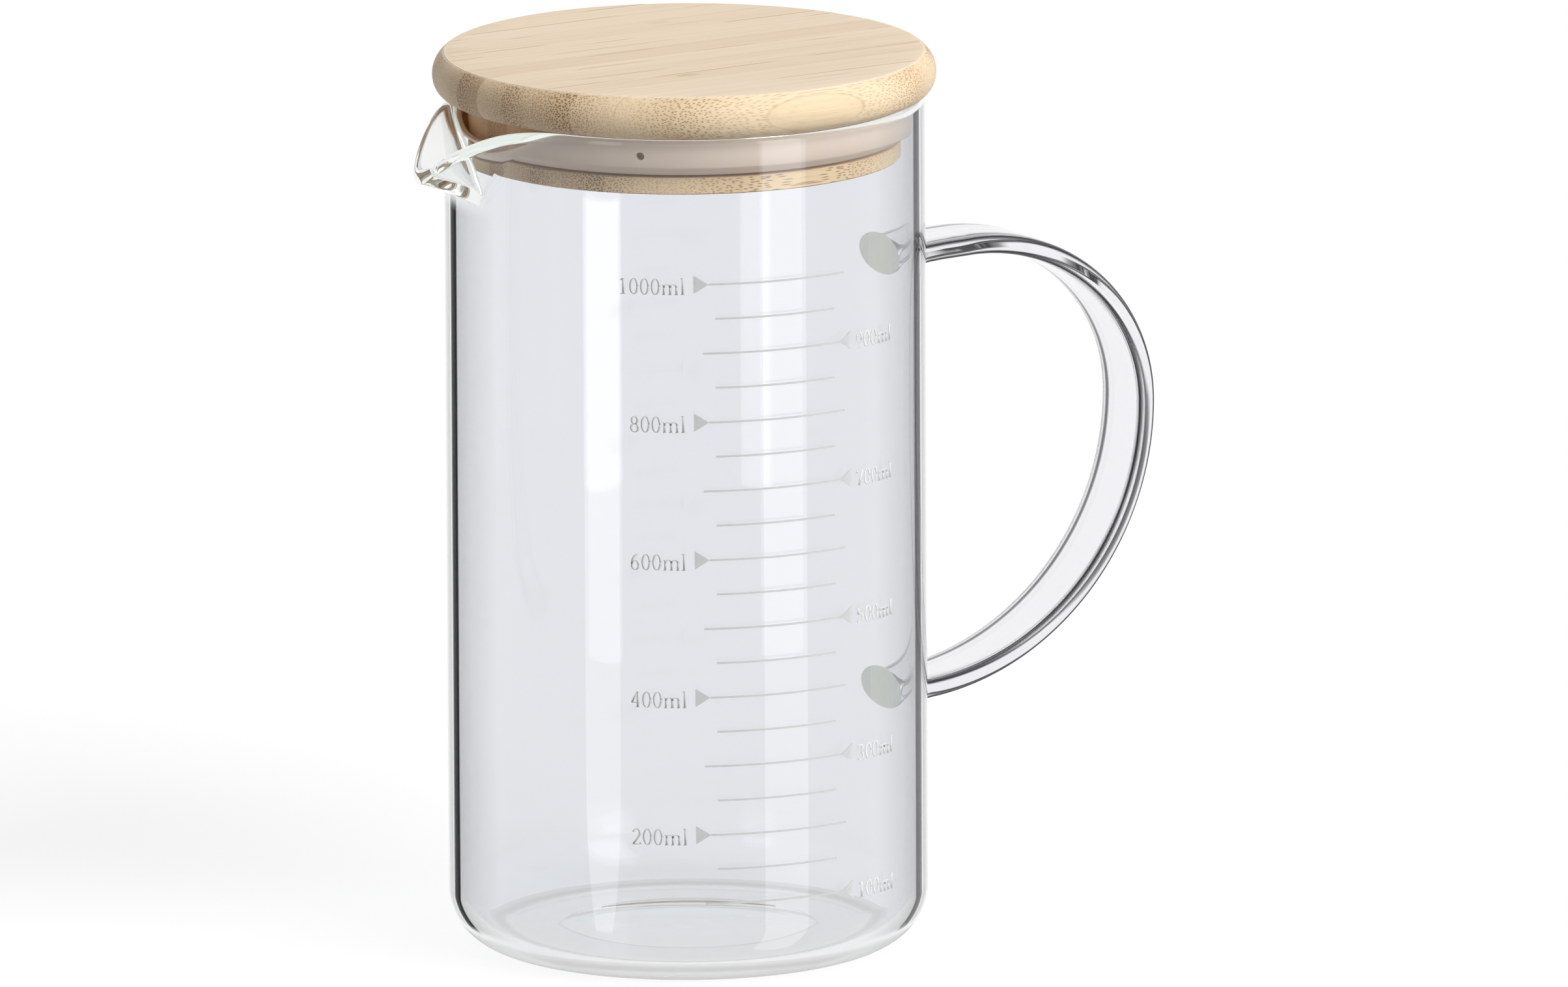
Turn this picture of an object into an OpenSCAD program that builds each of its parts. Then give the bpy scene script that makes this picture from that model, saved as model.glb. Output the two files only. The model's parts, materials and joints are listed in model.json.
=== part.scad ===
// Glass measuring jug with a pulled spout, a welded strap handle, a printed scale,
// and a turned bamboo lid that plugs the mouth with a soft lip seal.
// Millimetres. +Z is up, and the origin is on the jug's axis, at the surface it stands on.
// +X points at the handle and -X at the spout.

/* [Glass body] */
// Outer diameter of the glass cylinder
body_d = 99; // [92:0.5:110]
// Thickness of the glass wall
wall_t = 2.5; // [1.8:0.1:3.2]
// Height of the rim above the standing plane
body_h = 178; // [165:1:200]
// Thickness of the glass floor
floor_t = 3.2; // [2.4:0.1:5]
// Outer radius of the rounded bottom corner
corner_r = 12; // [8:0.5:15]
// Diameter of the shallow hollow under the floor
punt_d = 54; // [40:1:60]
// Depth of the shallow hollow under the floor
punt_depth = 1; // [0.5:0.1:1.5]

/* [Spout] */
// How far the tip stands out from the wall
spout_reach = 14.2; // [10:0.1:18]
// How far the tip droops below the rim
spout_drop = 10; // [6:0.5:12]
// How far below the rim the keel of the spout leaves the wall
spout_depth = 17; // [15:0.5:22]
// Angle from the spout's axis to where its lip runs into the rim
spout_half_angle = 24.5; // [20:0.5:30]
// Angle from the spout's axis over which its tip is rounded
spout_tip_angle = 2.5; // [2:0.5:5]

/* [Handle] */
// Width of the strap
handle_w = 16.2; // [12:0.1:20]
// Thickness of the strap
handle_t = 4.1; // [3.5:0.1:6]
// How far the strap's outermost face stands out from the wall
handle_reach = 58.5; // [50:0.5:66]
// Length of the level arm between the wall and the upper curve
handle_arm = 15.6; // [8:0.2:25]
// Height of the upper weld's centre
handle_top_z = 140.5; // [132:0.5:148]
// Height at which the strap reaches furthest out
handle_bend_z = 103.5; // [96:0.5:110]
// Height of the lower weld's centre
handle_low_z = 48; // [40:0.5:60]
// Width of the pad where the strap spreads on the wall
weld_w = 19; // [16:0.5:23]
// Height of the pad where the strap spreads on the wall
weld_h = 8.5; // [6:0.5:11]
// Length over which the strap spreads into its pad
weld_l = 4.5; // [3:0.5:8]

/* [Printed scale] */
// Volume at the top mark, in millilitres
scale_volume = 1000; // [800:100:1000]
// Volume between two numbered marks, in millilitres
scale_step = 100; // [100:50:200]
// Direction of the scale's centre line, from the handle
scale_angle = -97.5; // [-120:0.5:-80]
// Thickness of the printed ink
ink_t = 0.1; // [0.05:0.01:0.2]
// Height of a printed line
line_h = 0.4; // [0.2:0.05:0.8]
// Arc from the centre line to the plain end of a numbered line
line_plain = 15.9; // [13:0.1:18]
// Arc from the centre line to the tip of a pointer
line_tip = 14.7; // [13:0.1:18]
// Arc from the centre line to each end of a half-step line
line_half = 13.3; // [8:0.1:15]
// Length of a pointer along the arc
pointer_l = 3.1; // [2:0.1:5]
// Height of a pointer at its broad end
pointer_h = 3.85; // [2:0.05:5]

/* [Lid] */
// How far the lid's edge stands out past the glass wall
lid_overhang = 2.35; // [1:0.05:4]
// Thickness of the cap above the rim
lid_t = 9.2; // [7:0.1:14]
// How far the convex edge bulges past the top and bottom faces
lid_bulge = 2.5; // [1:0.1:4]
// How far the plug reaches below the rim
plug_depth = 12; // [11:0.5:15]
// Gap between the plug and the glass around it
plug_gap = 2.5; // [1.6:0.1:3.5]
// Height of the plug's lower bead, under the seal
bead_h = 3.5; // [2:0.1:4.5]
// Height of the seal's groove
groove_h = 3.2; // [2.4:0.1:5]
// Depth of the seal's groove
groove_depth = 3.2; // [2:0.1:5]
// Gap between the cap and the rim it rests on
seat_gap = 0.05; // [0.02:0.01:0.1]
// Number of glued strips
strip_count = 14; // [8:1:16]
// Width that the turned edge leaves of the first strip, at the back
strip_first = 6.35; // [2:0.05:9]
// Width that the turned edge leaves of the last strip, at the front
strip_last = 1.35; // [1:0.05:9]
// Direction across the strips, from the handle
strip_angle = -88; // [-180:1:180]

/* [Seal] */
// Thickness of the seal's lip
lip_t = 1.1; // [0.8:0.05:1.6]
// Height of the lip, from the foot of the seal to its free edge
lip_rise = 7.5; // [6:0.1:8]
// Height over which the lip leans out to the glass, before it stands up along it
lip_lean = 2.6; // [2:0.1:3.5]
// Gap between the lip and the glass
lip_gap = 0.1; // [0.05:0.01:0.2]
// Running gap between the seal and its groove
groove_gap = 0.08; // [0.05:0.01:0.1]
// Diameter of the vent hole through the lip
vent_d = 1.7; // [0.8:0.1:2]
// Height of the vent hole's lower edge above the seal's ring
vent_margin = 0.9; // [0.1:0.05:1.5]
// Direction of the vent hole, from the handle
vent_angle = -131; // [-180:1:180]

/* [Hidden] */
$fn = 96;
fine_fn = 4 * $fn;
// Overrun of a cut past the face that it opens
overrun = 2;

// Radii and heights of the glass
body_r = body_d / 2;
bore_r = body_r - wall_t;
rim_r = wall_t / 2;
rim_z = body_h - rim_r;
punt_sphere_r = (pow(punt_d / 2, 2) + pow(punt_depth, 2)) / (2 * punt_depth);

// The spout is a patch of the wall that is pulled out and down
sheet_r = body_r - rim_r;
// Powers that shape the reach and the drop across the spout, its foot along the wall and its rise
reach_power = 1.45;
drop_power = 2.7;
foot_power = 2;
rise_power = 1.2;
// How far below the rim the pulled glass still begins at the spout's edge
foot_edge = 2.2;
// Margin of unpulled wall under the keel, how far the patch laps into the wall, and how
// much thinner it is there
patch_margin = 1.5;
patch_lap = 1.2;
patch_inset = 0.15;
patch_low_z = body_h - spout_depth - patch_margin;
patch_columns = 24;
patch_rows = 10;
lip_steps = 6;
// Steps over which the patch's slopes are measured
slope_angle = 0.05;
slope_rise = body_h / 10000;

// Centre line of the strap: a level arm, a quarter of an ellipse out to its outermost point,
// and another one back to the wall
handle_out_x = body_r + handle_reach - handle_t / 2;
upper_x = body_r + handle_arm;
upper_l = handle_out_x - upper_x;
upper_h = handle_top_z - handle_bend_z;
lower_l = handle_out_x - body_r;
lower_h = handle_bend_z - handle_low_z;
arm_rings = 5;
bend_rings = 24;
edge_steps = 6;

// Volume that the rounded inner corner takes from the plain cylinder, by Pappus's theorem
inner_corner_r = corner_r - wall_t;
corner_area = (1 - PI / 4) * pow(inner_corner_r, 2);
corner_centroid_share = (10 - 3 * PI) / (12 - 3 * PI);
corner_centroid = bore_r - corner_centroid_share * inner_corner_r;
corner_volume = 2 * PI * corner_centroid * corner_area;
mm3_per_ml = 1000;
// Marks end below the lid's plug
mark_top_z = body_h - plug_depth - pointer_h;
mark_count = floor(scale_volume / scale_step);

// Radii and heights of the lid
lid_r = body_r + lid_overhang;
lid_edge_r = (pow(lid_bulge, 2) + pow(lid_t / 2, 2)) / (2 * lid_bulge);
arris_r = lid_r - lid_bulge;
cap_z = body_h + seat_gap;
plug_r = bore_r - plug_gap;
groove_r = plug_r - groove_depth;
plug_z = body_h - plug_depth;
groove_z = plug_z + bead_h;

// Glue lines: the strips between the first and the last share the rest of the lid's width
strip_w = (2 * lid_r - strip_first - strip_last) / (strip_count - 2);
strip_edges = concat(
    [-lid_r - overrun],
    [for (i = [0:strip_count - 2]) strip_first - lid_r + i * strip_w],
    [lid_r + overrun]
);

// Radii and heights of the seal
lip_r = bore_r - lip_gap;
seal_z = groove_z + groove_gap;
lip_z = seal_z + lip_rise;
ring_h = groove_h - 2 * groove_gap;
vent_z = seal_z + ring_h + vent_margin + vent_d / 2;

// Colours, as red, green and blue shares
glass_shares = [0.86, 0.92, 0.91, 0.4];
ink_shares = [0.82, 0.83, 0.82];
bamboo_light_shares = [0.91, 0.79, 0.62];
bamboo_dark_shares = [0.86, 0.72, 0.53];
silicone_shares = [0.88, 0.86, 0.84];

function strip_name(i) = str("lid_strip_", i + 1);

// Half outline of a beaker: a wall of radius r up to height h, over a corner of radius c
module beaker_outline(r, h, c) {
    square([r - c, h]);
    translate([0, c])
        square([r, h - c]);
    translate([r - c, c])
        circle(c);
}

// Half section of the glass: wall, floor and fire-polished rim
module wall_section() {
    difference() {
        beaker_outline(body_r, rim_z, corner_r);
        translate([0, floor_t])
            beaker_outline(bore_r, body_h, inner_corner_r);
    }
    translate([sheet_r, rim_z])
        circle(rim_r);
}

// Window in the wall that the spout's patch fills
module spout_window() {
    rotate([0, 0, 180 - spout_half_angle])
        rotate_extrude(angle = 2 * spout_half_angle)
            translate([bore_r - overrun, patch_low_z])
                square([wall_t + 2 * overrun, spout_depth + patch_margin + overrun]);
}

function unit(v) = v / norm(v);

// Distance across the spout, 0 on its axis and 1 at its edge, rounded at the tip
function across(a) =
    let (round_a = spout_tip_angle, edge_a = spout_half_angle)
    (sqrt(a * a + round_a * round_a) - round_a)
        / (sqrt(edge_a * edge_a + round_a * round_a) - round_a);

// Share of the full pull at an angle from the spout's axis, for the reach or for the drop
function pull_share(a, power) = pow(max(0, 1 - across(a)), power);

// Height at which the patch leaves the wall at that angle
function foot_z(a) =
    let (share = pow(max(0, 1 - abs(a) / spout_half_angle), foot_power))
    body_h - foot_edge - (spout_depth - foot_edge) * share;

// Point of the middle of the glass, by angle and by its height before the pull
function sheet_point(a, z) =
    let (
        foot = foot_z(a),
        rise_share = z <= foot ? 0 : pow((z - foot) / (rim_z - foot), rise_power),
        r = sheet_r + spout_reach * rise_share * pull_share(a, reach_power)
    )
    [-r * cos(a), -r * sin(a), z - spout_drop * rise_share * pull_share(a, drop_power)];

// Directions along the sheet, upwards and outwards from it
function sheet_up(a, z) = unit(sheet_point(a, z) - sheet_point(a, z - slope_rise));
function sheet_side(a, z) = unit(sheet_point(a + slope_angle, z) - sheet_point(a - slope_angle, z));
function sheet_out(a, z) = unit(cross(sheet_side(a, z), sheet_up(a, z)));

// Closed section of the patch at one angle: up the outside, over the lip and down the inside
function patch_section(a, heights) =
    let (
        at_side = abs(a) >= spout_half_angle,
        half = [for (z = heights) rim_r - (at_side || z <= patch_low_z ? patch_inset : 0)],
        last = len(heights) - 1
    )
    concat(
        [for (j = [0:last]) sheet_point(a, heights[j]) + half[j] * sheet_out(a, heights[j])],
        [
            for (k = [1:lip_steps - 1])
                let (turn = 180 * k / lip_steps)
                sheet_point(a, rim_z)
                    + half[last] * (cos(turn) * sheet_out(a, rim_z) + sin(turn) * sheet_up(a, rim_z))
        ],
        [for (j = [last:-1:0]) sheet_point(a, heights[j]) - half[j] * sheet_out(a, heights[j])]
    );

// Skin over a row of closed sections with the same number of points, closed at both ends
module loft(sections) {
    n = len(sections[0]);
    last = len(sections) - 1;
    sides = [
        for (i = [0:last - 1], k = [0:n - 1])
            let (a = i * n + k, b = i * n + (k + 1) % n)
            each [[a, b, a + n], [b, b + n, a + n]]
    ];
    ends = [[for (k = [n - 1:-1:0]) k], [for (k = [0:n - 1]) last * n + k]];
    polyhedron([for (s = sections) each s], concat(sides, ends), convexity = 6);
}

// The pulled patch of wall, which laps into the wall at its sides and foot
module spout_patch() {
    lap_angle = patch_lap / sheet_r * 180 / PI;
    heights = concat(
        [patch_low_z - patch_lap],
        [for (j = [0:patch_rows]) patch_low_z + (rim_z - patch_low_z) * j / patch_rows]
    );
    angles = concat(
        [-spout_half_angle - lap_angle],
        [for (i = [0:patch_columns]) spout_half_angle * (2 * i / patch_columns - 1)],
        [spout_half_angle + lap_angle]
    );
    loft([for (a = angles) patch_section(a, heights)]);
}

// One blown piece of glass: cylinder, rounded floor with a shallow hollow, rim and spout
module glass_body() {
    color(glass_shares) {
        difference() {
            rotate_extrude()
                wall_section();
            spout_window();
            translate([0, 0, punt_depth - punt_sphere_r])
                sphere(punt_sphere_r, $fn = fine_fn);
        }
        spout_patch();
    }
}

// Stations along a quarter of an ellipse about [x, z]: place in the XZ plane and outward angle
function bend_stations(x, z, l, h, from, to) = [
    for (i = [1:bend_rings])
        let (a = from + (to - from) * i / bend_rings)
        [x + l * cos(a), z + h * sin(a), atan2(l * sin(a), h * cos(a))]
];

// Stations along the whole strap, from inside the wall and back into it
function strap_stations() = concat(
    [[bore_r, handle_top_z, 90]],
    [for (i = [0:arm_rings]) [body_r + handle_arm * i / arm_rings, handle_top_z, 90]],
    bend_stations(upper_x, handle_bend_z, upper_l, upper_h, 90, 0),
    bend_stations(body_r, handle_bend_z, lower_l, lower_h, 0, -90),
    [[bore_r, handle_low_z, -90]]
);

// Share of the weld's spread that is left at a distance from the axis
function spread_share(x) = pow(max(0, 1 - max(0, x - body_r) / weld_l), 2);

// Closed ring of the strap at a station: flat faces and round edges
function strap_ring(station) =
    let (
        spread = spread_share(station[0]),
        w = handle_w + (weld_w - handle_w) * spread,
        t = handle_t + (weld_h - handle_t) * spread,
        a = station[2]
    )
    [
        for (side = [1, -1], k = [0:edge_steps])
            let (
                turn = side * (90 - 180 * k / edge_steps),
                out = t / 2 * sin(turn)
            )
            [
                station[0] + out * cos(a),
                side * ((w - t) / 2 + t / 2 * cos(turn)),
                station[1] + out * sin(a)
            ]
    ];

// Glass strap, drawn hot and welded to the wall at both ends, where it spreads into a pad
module handle() {
    color(glass_shares)
        difference() {
            loft([for (s = strap_stations()) strap_ring(s)]);
            cylinder(r = body_r, h = body_h, $fn = fine_fn);
        }
}

// Height at which the jug holds a volume, in millilitres
function mark_z(ml) = floor_t + (ml * mm3_per_ml + corner_volume) / (PI * pow(bore_r, 2));

// Angle of an arc along the outer wall
function arc_angle(arc) = arc / body_r * 180 / PI;

// Even marks carry their pointer on the left, at -1, and odd marks on the right, at 1
function pointer_side(i) = i % 2 == 0 ? -1 : 1;

// Thin line of ink on the wall between two arcs from the scale's centre line
module ink_line(z, from, to) {
    rotate([0, 0, scale_angle + arc_angle(from)])
        rotate_extrude(angle = arc_angle(to - from), $fn = fine_fn)
            translate([body_r, z - line_h / 2])
                square([ink_t, line_h]);
}

// Numbered lines, each from its pointer's tip to its plain end
module scale_lines() {
    color(ink_shares)
        for (i = [1:mark_count])
            if (mark_z(i * scale_step) < mark_top_z)
                if (pointer_side(i) < 0)
                    ink_line(mark_z(i * scale_step), -line_tip, line_plain);
                else
                    ink_line(mark_z(i * scale_step), -line_plain, line_tip);
}

// Short lines half-way between the numbered ones
module scale_half_lines() {
    color(ink_shares)
        for (i = [1:mark_count - 1])
            let (z = mark_z((i + 1 / 2) * scale_step))
            if (z < mark_top_z)
                ink_line(z, -line_half, line_half);
}

// Pointer triangle in the wall's own skin of ink, with its tip towards the centre line
module pointer(z, side) {
    middle = line_tip + pointer_l / 2;
    intersection() {
        rotate([0, 0, scale_angle + side * arc_angle(middle)])
            translate([body_r - overrun, 0, z])
                rotate([90, 0, 90])
                    linear_extrude(2 * overrun)
                        polygon([
                            [-side * pointer_l / 2, 0],
                            [side * pointer_l / 2, pointer_h / 2],
                            [side * pointer_l / 2, -pointer_h / 2]
                        ]);
        rotate([0, 0, scale_angle + side * arc_angle(middle) - arc_angle(pointer_l)])
            rotate_extrude(angle = 2 * arc_angle(pointer_l), $fn = fine_fn)
                translate([body_r, z - pointer_h])
                    square([ink_t, 2 * pointer_h]);
    }
}

// Pointers at the numbered marks, on alternate sides
module scale_pointers() {
    color(ink_shares)
        for (i = [1:mark_count])
            if (mark_z(i * scale_step) < mark_top_z)
                pointer(mark_z(i * scale_step), pointer_side(i));
}

// Half section of the turned lid: convex cap, plug and the groove for the seal
module lid_section() {
    translate([0, cap_z]) {
        square([arris_r, lid_t]);
        intersection() {
            square([lid_r, lid_t]);
            translate([lid_r - lid_edge_r, lid_t / 2])
                circle(lid_edge_r, $fn = fine_fn);
        }
    }
    difference() {
        translate([0, plug_z])
            square([plug_r, cap_z - plug_z]);
        translate([groove_r, groove_z])
            square([groove_depth + overrun, groove_h]);
    }
}

// One of the glued strips that the lid is turned from
module lid_strip(i) {
    from = strip_edges[i];
    color(i % 2 == 0 ? bamboo_light_shares : bamboo_dark_shares)
        intersection() {
            rotate_extrude($fn = fine_fn)
                lid_section();
            rotate([0, 0, strip_angle])
                translate([from, -lid_r - overrun, plug_z - overrun])
                    cube([
                        strip_edges[i + 1] - from,
                        2 * (lid_r + overrun),
                        plug_depth + seat_gap + lid_t + 2 * overrun
                    ]);
        }
}

// Soft ring in the plug's groove, with a lip that leans out to the glass, and a vent hole in the lip
module lid_seal() {
    ring_r = groove_r + groove_gap;
    color(silicone_shares)
        difference() {
            rotate_extrude() {
                translate([ring_r, seal_z])
                    square([plug_r - ring_r, ring_h]);
                polygon([
                    [plug_r - lip_t, seal_z],
                    [plug_r, seal_z],
                    [lip_r, seal_z + lip_lean],
                    [lip_r, lip_z],
                    [lip_r - lip_t, lip_z],
                    [lip_r - lip_t, seal_z + lip_lean]
                ]);
            }
            rotate([0, 0, vent_angle])
                translate([plug_r, 0, vent_z])
                    rotate([0, 90, 0])
                        cylinder(d = vent_d, h = lip_r - plug_r + overrun);
        }
}

glass_body();
handle();
scale_lines();
scale_half_lines();
scale_pointers();
lid_seal();
for (i = [0:strip_count - 1])
    lid_strip(i);
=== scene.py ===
import json
import math
from functools import partial

import bmesh
import bpy
import numpy as np
from mathutils import Matrix, Quaternion, Vector

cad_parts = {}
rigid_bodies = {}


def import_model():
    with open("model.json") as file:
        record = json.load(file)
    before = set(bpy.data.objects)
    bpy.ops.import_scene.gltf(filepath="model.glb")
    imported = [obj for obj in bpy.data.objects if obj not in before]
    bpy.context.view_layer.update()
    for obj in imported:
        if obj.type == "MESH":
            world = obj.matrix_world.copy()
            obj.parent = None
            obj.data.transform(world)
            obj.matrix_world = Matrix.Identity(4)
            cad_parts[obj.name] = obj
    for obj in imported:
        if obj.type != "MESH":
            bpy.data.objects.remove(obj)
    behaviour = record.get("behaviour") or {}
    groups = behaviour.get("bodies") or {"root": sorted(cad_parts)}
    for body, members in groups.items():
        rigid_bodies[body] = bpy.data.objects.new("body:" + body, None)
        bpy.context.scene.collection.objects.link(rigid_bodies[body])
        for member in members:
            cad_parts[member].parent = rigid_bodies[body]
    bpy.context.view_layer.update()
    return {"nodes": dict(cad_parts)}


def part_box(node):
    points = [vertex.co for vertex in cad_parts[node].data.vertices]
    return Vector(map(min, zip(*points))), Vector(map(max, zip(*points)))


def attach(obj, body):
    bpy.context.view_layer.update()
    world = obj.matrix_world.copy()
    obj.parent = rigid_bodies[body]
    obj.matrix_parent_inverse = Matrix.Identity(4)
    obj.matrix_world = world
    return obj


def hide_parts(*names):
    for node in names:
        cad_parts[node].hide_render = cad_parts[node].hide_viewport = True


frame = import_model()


# Glass body: one blown cylinder of clear borosilicate glass, with a rounded floor, a shallow
# hollow under it, a fire-polished rim and a spout that is pulled out of the hot wall.
body_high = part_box("glass_body")[1]
glass_r = body_high.y
rim_top = body_high.z
wall_t = 0.0025
wall_mid_r = glass_r - wall_t / 2
inner_r = glass_r - wall_t
rim_z = rim_top - wall_t / 2
floor_t = 0.0032
corner_r = 0.012
corner_mid_r = glass_r - corner_r
inner_corner_r = corner_r - wall_t
inner_corner_z = floor_t + inner_corner_r
hollow_r = 0.027
hollow_depth = 0.001
hollow_sphere_r = (hollow_r ** 2 + hollow_depth ** 2) / (2 * hollow_depth)

spout_reach = 0.0138
spout_drop = 0.0093
spout_half_angle = 30.0
spout_tip_angle = 3.0
reach_power, drop_power = 1.98, 3.69
side_rise, keel_rise, edge_rise = 3.0, 9.5, 25.0
keel_angle = 4.2
lip_stand = 0.0012
bend_least = 0.0006
bend_share = 0.027
keel_bulge = 0.0008
keel_half_w = 0.0017
keel_low_z = 0.1606
keel_end_l = 0.003
keel_end_power = 0.5
keel_gain = 8
keel_fade_l = 0.004
keel_foot_z = keel_low_z - keel_fade_l


def spout_across(a):
    """Distance across the spout by angle, 0 on its axis and 1 at its edge, rounded at the tip."""
    tip, edge = spout_tip_angle, spout_half_angle
    return (np.sqrt(a * a + tip * tip) - tip) / (math.sqrt(edge * edge + tip * tip) - tip)


def spout_pull(a):
    return np.maximum(0, 1 - spout_across(a))


def wall_middle(a, climb):
    """Middle of the wall by angle from the spout and by the share climbed: -1 is the plain wall
    under the spout, 0 is where the wall starts to bend outwards, and 1 is the rim."""
    pull = spout_pull(a)
    out = spout_reach * pull ** reach_power
    top = rim_z - spout_drop * pull ** drop_power
    edge = np.minimum(1, np.abs(a) / spout_half_angle)
    slope = side_rise + keel_rise * np.exp(-(a / keel_angle) ** 2) + edge_rise * edge ** 2
    rise = lip_stand + out * np.tan(np.radians(slope))
    bend = bend_least + bend_share * np.sqrt(out)
    foot = top - rise - bend
    part = np.clip(climb, 0, 1)
    r = wall_mid_r + out * part ** 2
    z = foot + 2 * bend * part * (1 - part) + (bend + rise) * part ** 2
    z += np.minimum(climb, 0) * (foot - keel_foot_z)
    t = np.radians(a)
    return np.stack([-r * np.cos(t), -r * np.sin(t), z], -1)


def unit(v):
    return v / np.linalg.norm(v, axis=-1, keepdims=True)


def wall_row(a, climb, turn):
    """Row of wall points: turn 0 is the outer face, 180 the inner one, and the lip lies between."""
    step_a, step_climb = 0.02, 0.01
    here = wall_middle(a, climb)
    up = unit(here - wall_middle(a, climb - step_climb))
    side = unit(wall_middle(a + step_a, climb) - wall_middle(a - step_a, climb))
    out = unit(np.cross(side, up))
    c, s = math.cos(math.radians(turn)), math.sin(math.radians(turn))
    arc = np.radians(a) * wall_mid_r
    end = np.clip((here[:, 2] - keel_low_z) / keel_end_l, 0, 1) ** keel_end_power
    keel = end * np.exp(-(arc / keel_half_w) ** 2)
    keel = (keel_bulge * max(0.0, c) * keel * np.minimum(1, keel_gain * spout_pull(a)))[:, None]
    return here + (wall_t / 2) * (c * out + s * up) + keel * out


def turned_row(a, r, z):
    t = np.radians(a)
    return np.stack([-r * np.cos(t), -r * np.sin(t), np.full_like(a, z)], -1)


def corner_rows(a, z_mid, r, first, last, count):
    """Rows round a quarter corner of the section, between two angles."""
    turns = np.radians(np.linspace(first, last, count))
    return [turned_row(a, corner_mid_r + r * math.cos(t), z_mid + r * math.sin(t)) for t in turns]


def grid_faces(row_count, columns):
    """Quads between neighbouring closed rows of points."""
    quads = []
    for i in range(row_count - 1):
        for k in range(columns):
            a, b = i * columns + k, i * columns + (k + 1) % columns
            quads.append((a, b, b + columns, a + columns))
    return quads


def new_object(name, data):
    made = bpy.data.objects.new(name, data)
    bpy.context.scene.collection.objects.link(made)
    return made


def face_outwards(mesh, sliver=0.0):
    """Takes slivers out of a mesh, turns its faces outwards and smooths them."""
    shell = bmesh.new()
    shell.from_mesh(mesh)
    if sliver:
        bmesh.ops.dissolve_degenerate(shell, edges=shell.edges, dist=sliver)
    bmesh.ops.recalc_face_normals(shell, faces=shell.faces)
    shell.to_mesh(mesh)
    shell.free()
    mesh.shade_smooth()


def mesh_piece(name, verts, faces):
    """New object at the origin from points and faces, with its faces turned outwards."""
    mesh = bpy.data.meshes.new(name)
    mesh.from_pydata([tuple(v) for v in verts], [], faces)
    face_outwards(mesh)
    return new_object(name, mesh)


def store_share(piece, zone, shares):
    """Keeps a share for each of a piece's points, for its material to read."""
    shares = np.asarray(shares, dtype=np.float32)
    piece.data.attributes.new(zone, "FLOAT", "POINT").data.foreach_set("value", shares)


spout_steps, spout_gather, round_steps = 121, 1.6, 225
plain_steps, pulled_steps = 13, 31
corner_steps, inner_corner_steps = 32, 18
wall_steps, lip_steps, floor_steps = 8, 15, 6
hollow_shares = np.array([0.02, 0.2, 0.4, 0.6, 0.8, 0.94, 0.985, 0.995])
ledge_shares = (1.0, 1.01, 1.06)
pole_r = 0.001

across_steps = np.linspace(-1, 1, spout_steps)
spout_angles = spout_half_angle * np.sign(across_steps) * np.abs(across_steps) ** spout_gather
round_angles = np.linspace(spout_half_angle, 360 - spout_half_angle, round_steps)[1:-1]
angles = np.concatenate([spout_angles, round_angles])
angles = np.where(angles > 180, angles - 360, angles)
climbs = np.concatenate([np.linspace(-1, 0, plain_steps), np.linspace(0, 1, pulled_steps)[1:]])

outer_rows = [
    turned_row(angles, r, hollow_depth - hollow_sphere_r + math.sqrt(hollow_sphere_r ** 2 - r * r))
    for r in hollow_r * hollow_shares
]
outer_rows += [turned_row(angles, hollow_r * share, 0.0) for share in ledge_shares]
corner_first = len(outer_rows)
outer_rows += corner_rows(angles, corner_r, corner_r, -90, 0, corner_steps)
outer_rows += [turned_row(angles, glass_r, z) for z in np.linspace(corner_r, keel_foot_z, wall_steps)[1:-1]]
pulled_first = len(outer_rows)
outer_rows += [wall_row(angles, climb, 0) for climb in climbs]
lip_rows = [wall_row(angles, 1.0, turn) for turn in np.linspace(0, 180, lip_steps)[1:-1]]
inner_rows = [wall_row(angles, climb, 180) for climb in climbs[::-1]]
inner_rows += [turned_row(angles, inner_r, z)
               for z in np.linspace(keel_foot_z, inner_corner_z, wall_steps)[1:-1]]
inner_rows += corner_rows(angles, inner_corner_z, inner_corner_r, 0, -90, inner_corner_steps)
inner_rows += [turned_row(angles, r, floor_t) for r in np.linspace(corner_mid_r, pole_r, floor_steps)[1:]]

rows = outer_rows + lip_rows + inner_rows
columns = len(angles)
points = np.concatenate(rows + [[[0, 0, hollow_depth], [0, 0, floor_t]]])
under_pole, floor_pole = len(points) - 2, len(points) - 1
faces = grid_faces(len(rows), columns)
last_row = (len(rows) - 1) * columns
for k in range(columns):
    faces.append((under_pole, (k + 1) % columns, k))
    faces.append((floor_pole, last_row + k, last_row + (k + 1) % columns))
jug = mesh_piece("jug_glass", points, faces)


def ease(share):
    share = np.clip(share, 0, 1)
    return share * share * (3 - 2 * share)


spout_margin, spout_fade = 8, 12
line_end_z, line_fade = 0.0058, 0.0014
foot_end_z, foot_fade = 0.0043, 0.0019
pull_gain = 4

plain_wall = np.zeros((len(rows), columns))
outer_foot = np.zeros((len(rows), columns))
pulled = np.zeros((len(rows), columns))
rim_first, rim_last = len(outer_rows), len(outer_rows) + len(lip_rows)
pulled[rim_first:rim_last] = 1.0
beside_spout = 1 - ease((np.abs(angles) - spout_half_angle - spout_margin) / spout_fade)
for i in range(corner_first, rim_first):
    z = rows[i][:, 2]
    beside = 1 - beside_spout * ease((z - keel_foot_z) / keel_fade_l)
    plain_wall[i] = beside * ease((z - line_end_z) / line_fade)
    outer_foot[i] = 1 - ease((z - foot_end_z) / foot_fade)
for i, climb in enumerate(climbs):
    share = ease(pull_gain * max(0.0, climb) ** 2 * spout_pull(angles))
    pulled[pulled_first + i] = pulled[rim_last + len(climbs) - 1 - i] = share
for zone, shares in (("plain_wall", plain_wall), ("outer_foot", outer_foot), ("pulled", pulled)):
    store_share(jug, zone, np.append(shares.ravel(), [0, 0]))


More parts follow.
